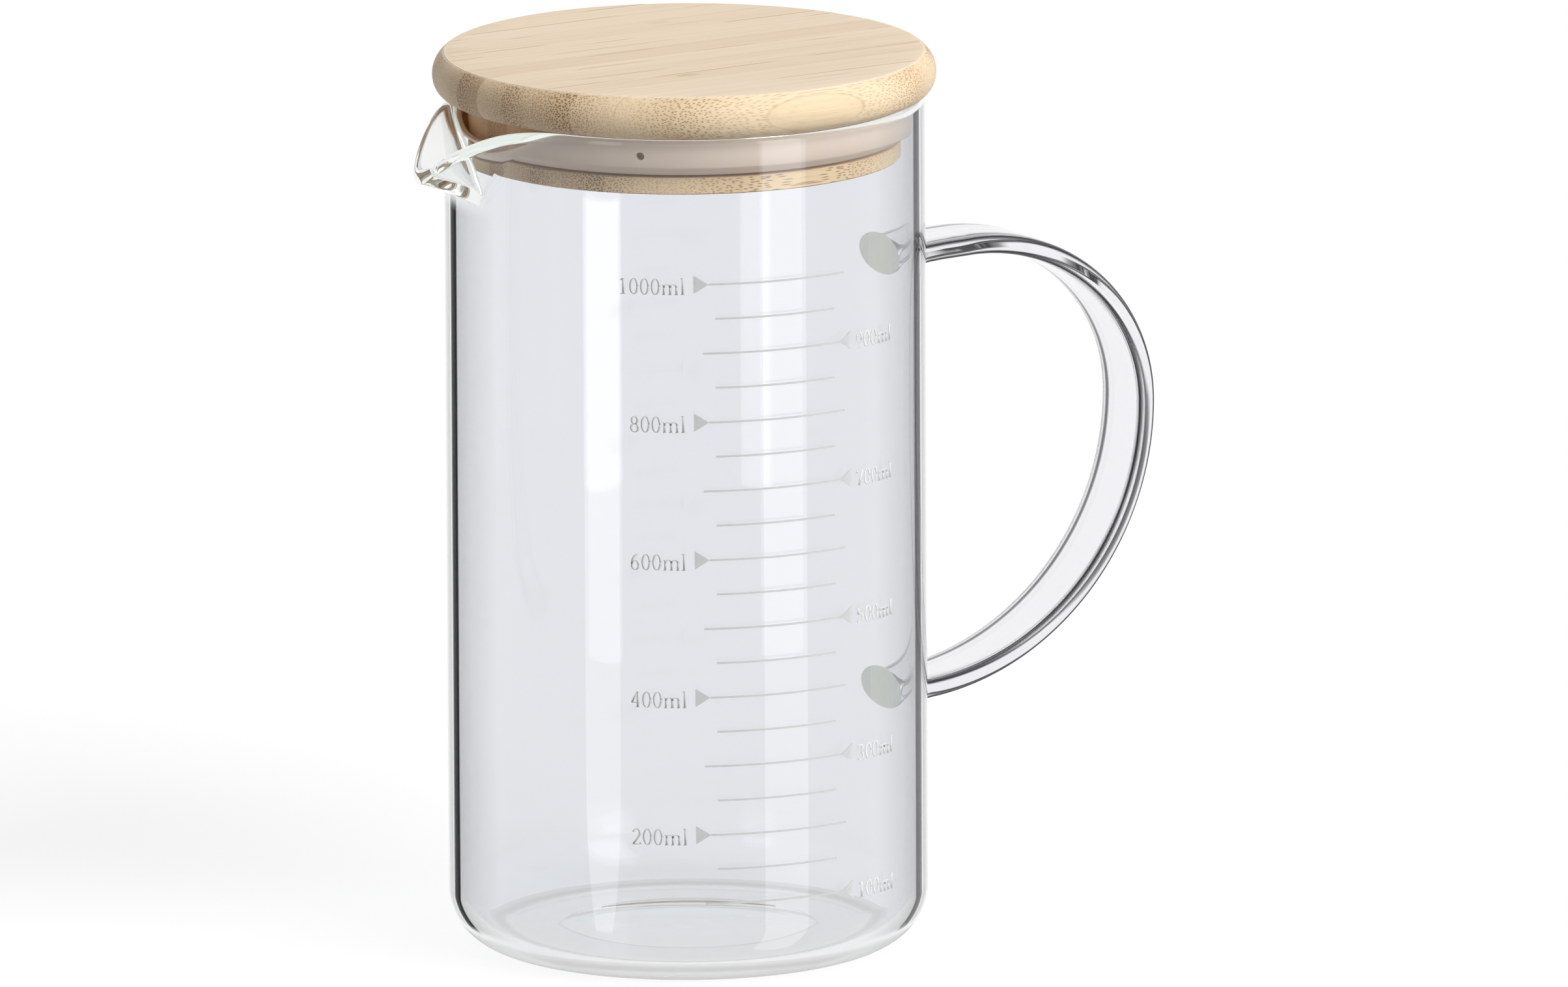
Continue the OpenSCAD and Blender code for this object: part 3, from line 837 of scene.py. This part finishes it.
turning = turned_tree()
lip_edge = pen_arc(lip_r - lip_t / 2, lip_top - lip_ease - lip_round, lip_t / 2, lip_round, 180, 0,
                   lip_edge_steps)
seal_section = [(groove_r + ring_gap, seal_z), (groove_r + ring_gap, seal_z + ring_h),
                (plug_r - collar_gap, seal_z + ring_h), (plug_r - collar_gap, seal_z + lip_lean / 2),
                (lip_r - lip_t, seal_z + lip_lean)]
seal_section += [tuple(p) for p in lip_edge]
seal_section += [(lip_r, seal_z + lip_lean), (lip_r - lean_round, seal_z + 0.8 * lip_lean),
                 (plug_r + foot_round, seal_z + 2 * foot_gap), (plug_r, seal_z + 1.3 * foot_gap),
                 (plug_r - foot_gap, seal_z + foot_gap), (plug_r - foot_gap_l, seal_z + foot_gap),
                 (plug_r - foot_gap_l - foot_gap / 2, seal_z)]
seal_section += [seal_section[0]]
seal = turned_piece("seal_ring", seal_section, silicone_material())
for vert in seal.data.vertices:
    turn = math.degrees(math.atan2(-vert.co.y, -vert.co.x))
    free = max(0.0, (vert.co.z - seal_z - lip_lean) / (lip_top - seal_z - lip_lean))
    if math.hypot(vert.co.x, vert.co.y) > plug_r:
        near = max(0.0, 1 - ((turn - lip_low_middle) / lip_low_angle) ** 2)
        vert.co.z -= free * lip_low * near ** lip_low_power
vent_cutter = bmesh.new()
bmesh.ops.create_cone(vent_cutter, cap_ends=True, segments=vent_sides, radius1=vent_d / 2, radius2=vent_d / 2,
                      depth=vent_l)
vent_mesh = bpy.data.meshes.new("vent_cutter")
vent_cutter.to_mesh(vent_mesh)
vent_cutter.free()
vent_way = Vector((math.cos(vent_turn), math.sin(vent_turn), 0))
vent_mesh.transform(vent_way.to_track_quat("Z", "Y").to_matrix().to_4x4())
vent_mesh.transform(Matrix.Translation(vent_way * plug_r + Vector((0, 0, seal_z + vent_rise))))
# Vent walls: brown tone and painted glow, standing in for the bamboo seen through the hole.
vent_painted_glow = glowing_material("vent_painted_glow", scale=1200.0, thin=(0.50, 0.27, 0.10),
                                 full=(0.70, 0.44, 0.22), roughness=0.5, glow=0.25)
vent_mesh.materials.append(vent_painted_glow)
vent_tool = new_object("vent_tool", vent_mesh)
cut = seal.modifiers.new("vent", "BOOLEAN")
cut.operation, cut.object, cut.solver = "DIFFERENCE", vent_tool, "EXACT"
seal.data = applied_mesh(seal)
seal.modifiers.clear()
bpy.data.objects.remove(vent_tool)
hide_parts("lid_seal")
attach(seal, "seal")


# Lid: bamboo strips glued side by side, and turned on a lathe to a round cap with a convex
# edge, a plug and a groove for the seal. Sanded and thinly oiled.
strip_count = sum(name.startswith("lid_strip_") for name in frame["nodes"])
cap_gap = 5e-5
cap_low = rim_top + cap_gap
cap_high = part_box("lid_strip_7")[1].z
plug_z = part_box("lid_strip_7")[0].z
cap_t = cap_high - cap_low
cap_mid = cap_low + cap_t / 2
overhang = 0.00235
lid_r = glass_r + overhang
bulge = 0.0025
edge_arc_r = (bulge ** 2 + (cap_t / 2) ** 2) / (2 * bulge)
edge_half = math.degrees(math.asin(cap_t / 2 / edge_arc_r))
edge_round, edge_round_power = 0.0013, 7
cap_steps = 33
strip_turn = math.radians(-88)
strip_first = 0.00635
strip_last = 0.00135
strip_w = (2 * lid_r - strip_first - strip_last) / (strip_count - 2)
seam_0 = strip_first - lid_r
groove_low, groove_high = plug_z + 0.0035, plug_z + 0.0067
arris = 0.00025
# Width of the painted highlight along the top edge of the cap.
highlight_width = 0.0005
edge_points = pen_arc(lid_r - edge_arc_r, cap_mid, edge_arc_r, edge_arc_r, -edge_half, edge_half, cap_steps)
below_mid = np.clip((cap_mid - edge_points[:, 1]) / (cap_t / 2), 0, 1)
edge_points[:, 0] -= edge_round * below_mid ** edge_round_power
arris_r = edge_points[-1][0]

node_scars = ((0.0097, 0.0273), (-0.0126, -0.0234))
scar_size = (0.0040, 0.0014, 0.0040)
strip_tones = (0.83, 0.66, 0.77, 0.55, 0.70, 0.66, 0.18, 0.78, 0.60, 0.46, 0.84, 0.84, 1.00, 0.92)
strip_dots = (0.60, 0.80, 0.60, 0.95, 0.80, 0.90, 1.75, 0.95, 1.50, 1.60, 1.00, 0.80, 0.90, 0.25)
pale_low, pale_high = (0.815, 0.645, 0.455, 1), (0.89, 0.735, 0.545, 1)
honey_low, honey_high = (0.60, 0.405, 0.235, 1), (0.92, 0.735, 0.50, 1)
rind_tint = (0.62, 0.42, 0.23, 1)
# Painted shade and painted glow for the neck under the cap.
neck_shade_tint, neck_glow = (0.82, 0.69, 0.57, 1), (0.040, 0.023, 0.010, 1)
# Painted light for the bead below the groove.
bead_light_tint = (1.14, 1.09, 1.0, 1)
grain_tint = (0.64, 0.44, 0.27, 1)
dot_tint = (0.24, 0.13, 0.06, 1)
vein_tint = (0.46, 0.23, 0.12, 1)
scar_tint = (0.56, 0.36, 0.17, 1)
seam_tint = (0.42, 0.25, 0.13, 1)
# Tone of the painted highlight along the top edge of the cap.
arris_highlight_tint = (0.95, 0.83, 0.65, 1)
height_slack, neck_lap = 1e-5, 1e-4


def bamboo_material():
    """Bamboo with its fibre bundles running along the strips: dots where they are cut across, veins and grain
    on the flat top and darker seams between the strips. Painted light: a pale highlight along the top edge,
    painted shade and a painted glow on the neck under the cap, and a lighter bead; the paler flat top is
    partly its face grain and partly a painted sheen."""
    made = new_material("oiled_bamboo")
    tree = made.node_tree
    calc, ramp, blend = (partial(helper, tree) for helper in (reckon, soft_step, mix_tones))
    vector = partial(reckon_vector, tree)

    place = piece_place(tree)
    laid = add_node(tree, "ShaderNodeMapping", Vector=place, Rotation=(0, 0, -strip_turn)).outputs[0]
    across, along, height = split(tree, laid)
    radius = vector("LENGTH", vector("MULTIPLY", laid, (1, 1, 0)))
    sway = add_node(tree, "ShaderNodeTexNoise", {"noise_dimensions": "1D"}, W=along, Scale=30.0, Detail=1.0)
    swayed = calc("MULTIPLY_ADD", sway.outputs[0], 0.0009, across)
    strip = calc("DIVIDE", calc("SUBTRACT", across, seam_0), strip_w)
    inside = calc("FRACT", strip)
    tone, bold = zone_share(tree, "strip_tone"), zone_share(tree, "strip_dots")
    upward = split(tree, add_node(tree, "ShaderNodeNewGeometry").outputs["Normal"])["Z"]
    top = ramp(upward, 0.86, 0.97)

    flip = calc("GREATER_THAN", calc("FRACT", calc("MULTIPLY", calc("FLOOR", strip), 0.5)), 0.25)
    rind = ramp(calc("ABSOLUTE", calc("SUBTRACT", flip, inside)), 0.15, 0.95)
    cross = add_node(tree, "ShaderNodeCombineXYZ", X=swayed, Y=height)
    bundles = add_node(tree, "ShaderNodeTexVoronoi", {"voronoi_dimensions": "2D"}, Vector=cross.outputs[0],
                       Scale=2000.0, Randomness=0.85)
    dot_edge = calc("MULTIPLY_ADD", bold, 0.16, 0.20)
    dot = calc("SUBTRACT", 1.0, ramp(bundles.outputs["Distance"], 0.10, dot_edge))
    dot = calc("MULTIPLY", dot, calc("MULTIPLY_ADD", rind, 0.6, 0.4))
    dot = calc("MULTIPLY", dot, bold)

    streak_place = add_node(tree, "ShaderNodeCombineXYZ", X=swayed, Y=calc("MULTIPLY", along, 0.012),
                            Z=height)
    streak = add_node(tree, "ShaderNodeTexNoise", Vector=streak_place.outputs[0], Scale=1400.0,
                      Detail=3.0).outputs[0]
    vein = add_node(tree, "ShaderNodeTexVoronoi", {"voronoi_dimensions": "1D"}, W=swayed, Scale=190.0)
    thread = calc("SUBTRACT", 1.0, ramp(vein.outputs["Distance"], 0.012, 0.05))
    luck = add_node(tree, "ShaderNodeSeparateColor", Color=vein.outputs["Color"]).outputs
    dash_place = add_node(tree, "ShaderNodeCombineXYZ", X=calc("MULTIPLY", along, 26.0),
                          Y=calc("MULTIPLY", luck[0], 60.0))
    dash = add_node(tree, "ShaderNodeTexNoise", {"noise_dimensions": "2D"}, Vector=dash_place.outputs[0],
                    Scale=1.0, Detail=3.0)
    veins = calc("MULTIPLY", calc("MULTIPLY", thread, ramp(dash.outputs[0], 0.48, 0.60)), top)

    # The flat top takes the pale tones: partly its face grain and partly a painted sheen.
    base = blend(top, blend(tone, honey_low, honey_high), blend(tone, pale_low, pale_high))
    rind_share = calc("MULTIPLY", calc("SUBTRACT", 1.0, top), calc("MULTIPLY", rind, 0.30))
    base = blend(rind_share, base, rind_tint)
    # Painted shade darkens the neck under the cap, and a painted glow tints it brown.
    neck_shade_glow = calc("MULTIPLY", calc("LESS_THAN", height, cap_low + height_slack),
                calc("GREATER_THAN", height, groove_high - neck_lap))
    base = blend(neck_shade_glow, base, neck_shade_tint, "MULTIPLY")
    # Painted light brightens the bead below the groove.
    base = blend(calc("LESS_THAN", height, groove_low + height_slack), base, bead_light_tint, "MULTIPLY")
    base = blend(calc("MULTIPLY", ramp(streak, 0.40, 0.72), 0.20), base, grain_tint)
    base = blend(calc("MULTIPLY", dot, calc("MULTIPLY_ADD", top, -0.84, 0.92)), base, dot_tint)
    base = blend(calc("MULTIPLY", veins, calc("MULTIPLY_ADD", luck[1], 0.45, 0.6)), base, vein_tint)
    scar = 0.0
    for x, y in node_scars:
        away = vector("DIVIDE", vector("SUBTRACT", place, (x, y, cap_high)), scar_size)
        scar = calc("MAXIMUM", scar, calc("SUBTRACT", 1.0, ramp(vector("LENGTH", away), 0.3, 1.0)))
    base = blend(calc("MULTIPLY", scar, ramp(streak, 0.42, 0.62)), base, scar_tint)
    to_seam = calc("MINIMUM", inside, calc("SUBTRACT", 1.0, inside))
    seam = calc("SUBTRACT", 1.0, ramp(to_seam, 0.004, 0.022))
    base = blend(calc("MULTIPLY", seam, 0.22), base, seam_tint)
    # Painted highlight: a pale band along the top edge of the cap.
    to_edge = calc("ABSOLUTE", calc("SUBTRACT", radius, arris_r))
    painted_light = calc("SUBTRACT", 1.0, ramp(to_edge, highlight_width / 4, highlight_width))
    painted_light = calc("MULTIPLY", calc("GREATER_THAN", height, cap_high - highlight_width), painted_light)
    base = blend(calc("MULTIPLY", painted_light, 0.45), base, arris_highlight_tint)

    relief = add_node(tree, "ShaderNodeBump", Strength=0.25, Distance=0.0002,
                      Height=calc("MULTIPLY_ADD", dot, -0.8, streak))
    body = add_node(tree, "ShaderNodeBsdfPrincipled", Base_Color=base, Normal=relief.outputs[0],
                    Roughness=calc("MULTIPLY_ADD", streak, 0.20, 0.40),
                    Emission_Color=blend(neck_shade_glow, (0, 0, 0, 1), neck_glow), Emission_Strength=1.0)
    add_node(tree, "ShaderNodeOutputMaterial", Surface=body.outputs[0])
    return made


bamboo = bamboo_material()
blank_section = [(0.0, plug_z), (plug_r - arris, plug_z), (plug_r, plug_z + arris),
                 (plug_r, groove_low - arris / 2), (plug_r - arris / 2, groove_low), (groove_r, groove_low),
                 (groove_r, groove_high), (plug_r, groove_high), (plug_r, cap_low)]
blank_section += [tuple(p) for p in edge_points[:-1]]
blank_section += [(arris_r + 0.6 * arris, cap_high - 0.8 * arris),
                  (arris_r + 0.1 * arris, cap_high - 0.2 * arris), (arris_r - 0.8 * arris, cap_high),
                  (arris_r / 2, cap_high), (0.0, cap_high)]
blank = turned_piece("lid_blank", blank_section, bamboo)
seams = [seam_0 + i * strip_w for i in range(strip_count - 1)]
saw_slack = 1e-7
across_way = Vector((math.cos(strip_turn), math.sin(strip_turn), 0))
for i in range(strip_count):
    sawn = bmesh.new()
    sawn.from_mesh(blank.data)
    for seam, waste in ((i - 1, "clear_inner"), (i, "clear_outer")):
        if 0 <= seam < len(seams):
            bmesh.ops.bisect_plane(sawn, geom=sawn.verts[:] + sawn.edges[:] + sawn.faces[:], dist=saw_slack,
                                   plane_co=across_way * seams[seam], plane_no=across_way, **{waste: True})
            open_edges = [e for e in sawn.edges if e.is_boundary]
            bmesh.ops.holes_fill(sawn, edges=open_edges, sides=0)
    strip_mesh = bpy.data.meshes.new(f"bamboo_strip_{i + 1}")
    sawn.to_mesh(strip_mesh)
    sawn.free()
    strip_mesh.materials.append(bamboo)
    strip_mesh.set_sharp_from_angle(angle=turned_crease)
    strip = new_object(f"bamboo_strip_{i + 1}", strip_mesh)
    for zone, share in (("strip_tone", strip_tones[i]), ("strip_dots", strip_dots[i])):
        store_share(strip, zone, np.full(len(strip_mesh.vertices), share))
    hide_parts(f"lid_strip_{i + 1}")
    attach(strip, "lid")
bpy.data.objects.remove(blank)


# Studio: a white sweep, even soft light with a key from the right, two tall light panels that
# show as upright bands in the glass, and the camera at the photograph's angle.
sweep_r = 6.0
floor_gap = 2e-5
paper_lift = 0.58
floor_mesh = bpy.data.meshes.new("floor")
sweep_corners = ((-1, -1), (1, -1), (1, 1), (-1, 1))
floor_mesh.from_pydata([(x * sweep_r, y * sweep_r, -floor_gap) for x, y in sweep_corners], [], [(0, 1, 2, 3)])
floor = new_object("floor", floor_mesh)
paper = new_material("white_paper")
seen_by = add_node(paper.node_tree, "ShaderNodeLightPath").outputs
dull = reckon(paper.node_tree, "SUBTRACT", 1.0, seen_by["Is Diffuse Ray"])
sheet = add_node(paper.node_tree, "ShaderNodeBsdfPrincipled", Base_Color=(0.50, 0.50, 0.50, 1), Roughness=0.9,
                 Specular_IOR_Level=0.0, Emission_Color=(1, 1, 1, 1),
                 Emission_Strength=reckon(paper.node_tree, "MULTIPLY", dull, paper_lift))
add_node(paper.node_tree, "ShaderNodeOutputMaterial", Surface=sheet.outputs[0])
floor_mesh.materials.append(paper)
floor.visible_glossy = False

view_turn = math.radians(-30)
view_roll = math.radians(-0.3)
camera_far = 8.0
photo_w = 2408
px_per_metre = 7454.5
axis_px = 1054
target = Vector((0, 0, 0.094))
panel_far, panel_glow = 0.36, 3.0
panel_end_steps = 17


def panel(name, turn, width, low, high):
    """Light panel, rounded below, that stands at an angle from the camera's direction and shows
    only where the glass mirrors it."""
    way = view_turn + turn
    out = Vector((math.sin(way), -math.cos(way), 0))
    side = Vector((math.cos(way), math.sin(way), 0))
    r = width / 2
    rim = [(-r, high), (r, high)]
    rim += [(r * math.cos(t), low + r * math.sin(t)) for t in np.linspace(0, -math.pi, panel_end_steps)]
    mesh = bpy.data.meshes.new(name)
    mesh.from_pydata([out * panel_far + side * x + Vector((0, 0, z)) for x, z in rim], [],
                     [tuple(range(len(rim)))])
    card = new_object(name, mesh)
    glow = new_material(name + "_glow")
    tree = glow.node_tree
    lit = add_node(tree, "ShaderNodeEmission", Color=(1, 1, 1, 1), Strength=panel_glow)
    unseen = add_node(tree, "ShaderNodeBsdfTransparent")
    path = add_node(tree, "ShaderNodeLightPath").outputs
    mirrored = reckon(tree, "GREATER_THAN", path["Glossy Depth"], 0.5)
    shown = add_node(tree, "ShaderNodeMixShader", i0=mirrored, i1=unseen.outputs[0], i2=lit.outputs[0])
    add_node(tree, "ShaderNodeOutputMaterial", Surface=shown.outputs[0])
    mesh.materials.append(glow)
    card.visible_camera = card.visible_diffuse = card.visible_shadow = card.visible_volume_scatter = False


panel("panel_left", math.radians(-38.4), 0.105, -0.02, 0.101)
panel("panel_right", math.radians(45.6), 0.135, -0.30, 0.5)

rightwards = Vector((math.cos(view_turn), math.sin(view_turn), 0))
level_way = Vector((math.sin(view_turn), -math.cos(view_turn), 0))
towards = level_way * math.cos(view_rise) + Vector((0, 0, math.sin(view_rise)))
key = bpy.data.lights.new("key_right", "SUN")
key.energy, key.angle = 2.95, math.radians(40)
key_stand = new_object("key_right", key)
key_right, key_front, key_up = 0.70, 0.57, 0.55
key_way = rightwards * key_right + towards * key_front + Vector((0, 0, key_up))
key_stand.rotation_mode = "QUATERNION"
key_stand.rotation_quaternion = key_way.to_track_quat("Z", "Y")
key_stand.visible_glossy = key_stand.visible_transmission = False

room = bpy.data.worlds.new("studio")
room.use_nodes = True
room_tree = room.node_tree
room_tree.nodes.clear()
path = add_node(room_tree, "ShaderNodeLightPath").outputs
seen = reckon(room_tree, "MAXIMUM", path["Is Camera Ray"], path["Is Glossy Ray"])
shown = reckon(room_tree, "MAXIMUM", seen, path["Is Transmission Ray"])
aim = split(room_tree, add_node(room_tree, "ShaderNodeTexCoord").outputs["Generated"])
level = add_node(room_tree, "ShaderNodeMapRange", Value=aim["Z"], From_Min=-0.1, To_Min=0.03, To_Max=0.46)
strength = add_node(room_tree, "ShaderNodeMix", i0=shown, i2=level.outputs[0], i3=1.0)
air = add_node(room_tree, "ShaderNodeBackground", Color=(1, 1, 1, 1), Strength=strength.outputs[0])
add_node(room_tree, "ShaderNodeOutputWorld", Surface=air.outputs[0])
bpy.context.scene.world = room

lens = bpy.data.cameras.new("camera")
lens.sensor_width = 36.0
lens.lens = lens.sensor_width * camera_far * px_per_metre / photo_w
lens.shift_x = (photo_w / 2 - axis_px) / photo_w
lens.clip_end = 100.0
camera = new_object("camera", lens)
camera.location = target + towards * camera_far
camera.rotation_mode = "QUATERNION"
camera.rotation_quaternion = (-towards).to_track_quat("-Z", "Y") @ Quaternion((0, 0, 1), view_roll)
bpy.context.scene.camera = camera
bpy.context.scene.view_settings.view_transform = "Standard"
bpy.context.scene.cycles.max_bounces = 48
bpy.context.scene.cycles.transmission_bounces = 48
bpy.context.scene.cycles.glossy_bounces = 24
bpy.context.scene.cycles.transparent_max_bounces = 24
